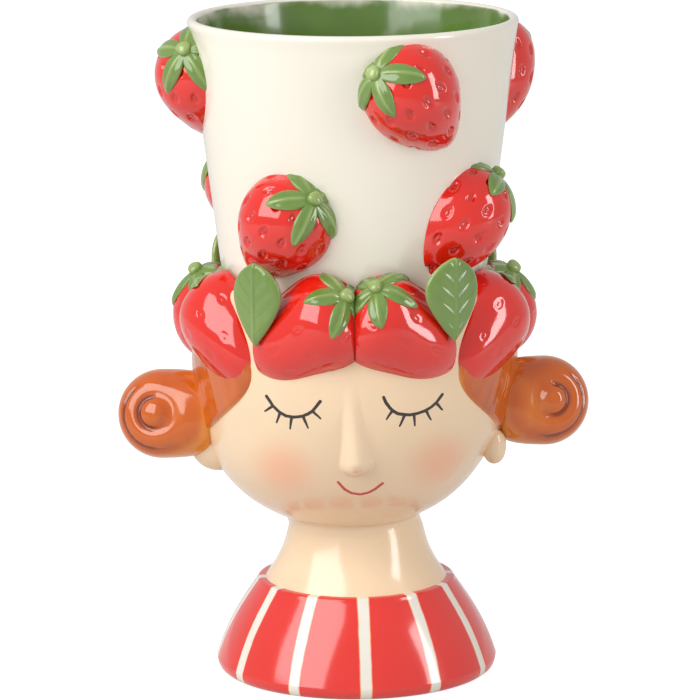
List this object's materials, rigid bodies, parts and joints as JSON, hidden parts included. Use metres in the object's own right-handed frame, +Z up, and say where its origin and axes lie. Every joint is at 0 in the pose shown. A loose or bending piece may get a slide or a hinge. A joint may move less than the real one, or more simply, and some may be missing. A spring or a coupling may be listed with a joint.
{
  "type": "cachepot",
  "caption": "Glazed ceramic bust with coiled buns, striped shoulders and a strawberry wreath, carrying a tapered white pot with relief strawberries that lifts out.",
  "frame": {"origin": "centre of the foot ring, on the plane that the bust stands on", "axes": "+Z up along the axis of the pot and neck, -Y the way the face looks, +X to the viewer's right"},
  "size_m": [0.2288, 0.1849, 0.3206],
  "materials": {
    "skin_glaze": "glossy cream skin glaze with painted face",
    "stripe_glaze": "glossy red glaze with painted white stripes",
    "hair_glaze": "glossy orange-brown glaze",
    "berry_glaze": "glossy brushed red glaze",
    "leaf_glaze": "glossy brushed green glaze",
    "pot_glaze": "glossy warm white glaze, green inside"
  },
  "bodies": {
    "bust": {"shoulders": "stripe_glaze", "head": "skin_glaze", "hair": "hair_glaze", "bun_left": "hair_glaze", "ear_left": "skin_glaze", "bun_right": "hair_glaze", "ear_right": "skin_glaze", "crown_berry_1": "berry_glaze", "crown_berry_2": "berry_glaze", "crown_berry_3": "berry_glaze", "crown_berry_4": "berry_glaze", "crown_berry_5": "berry_glaze", "crown_berry_6": "berry_glaze", "crown_berry_7": "berry_glaze", "crown_berry_8": "berry_glaze", "crown_calyx_1": "leaf_glaze", "crown_calyx_2": "leaf_glaze", "crown_calyx_3": "leaf_glaze", "crown_calyx_4": "leaf_glaze", "crown_calyx_5": "leaf_glaze", "crown_calyx_6": "leaf_glaze", "crown_calyx_7": "leaf_glaze", "crown_calyx_8": "leaf_glaze", "crown_leaf_1": "leaf_glaze", "crown_leaf_2": "leaf_glaze", "crown_leaf_3": "leaf_glaze", "crown_leaf_4": "leaf_glaze"},
    "pot": {"pot": "pot_glaze", "pot_berry_1": "berry_glaze", "pot_berry_2": "berry_glaze", "pot_berry_3": "berry_glaze", "pot_berry_4": "berry_glaze", "pot_berry_5": "berry_glaze", "pot_berry_6": "berry_glaze", "pot_berry_7": "berry_glaze", "pot_berry_8": "berry_glaze", "pot_calyx_1": "leaf_glaze", "pot_calyx_2": "leaf_glaze", "pot_calyx_3": "leaf_glaze", "pot_calyx_4": "leaf_glaze", "pot_calyx_5": "leaf_glaze", "pot_calyx_6": "leaf_glaze", "pot_calyx_7": "leaf_glaze", "pot_calyx_8": "leaf_glaze"}
  },
  "joints": [
    {"name": "pot_lift", "type": "slide", "parent": "bust", "child": "pot", "axis": [0, 0, 1], "range_m": [0, 0.08]}
  ]
}
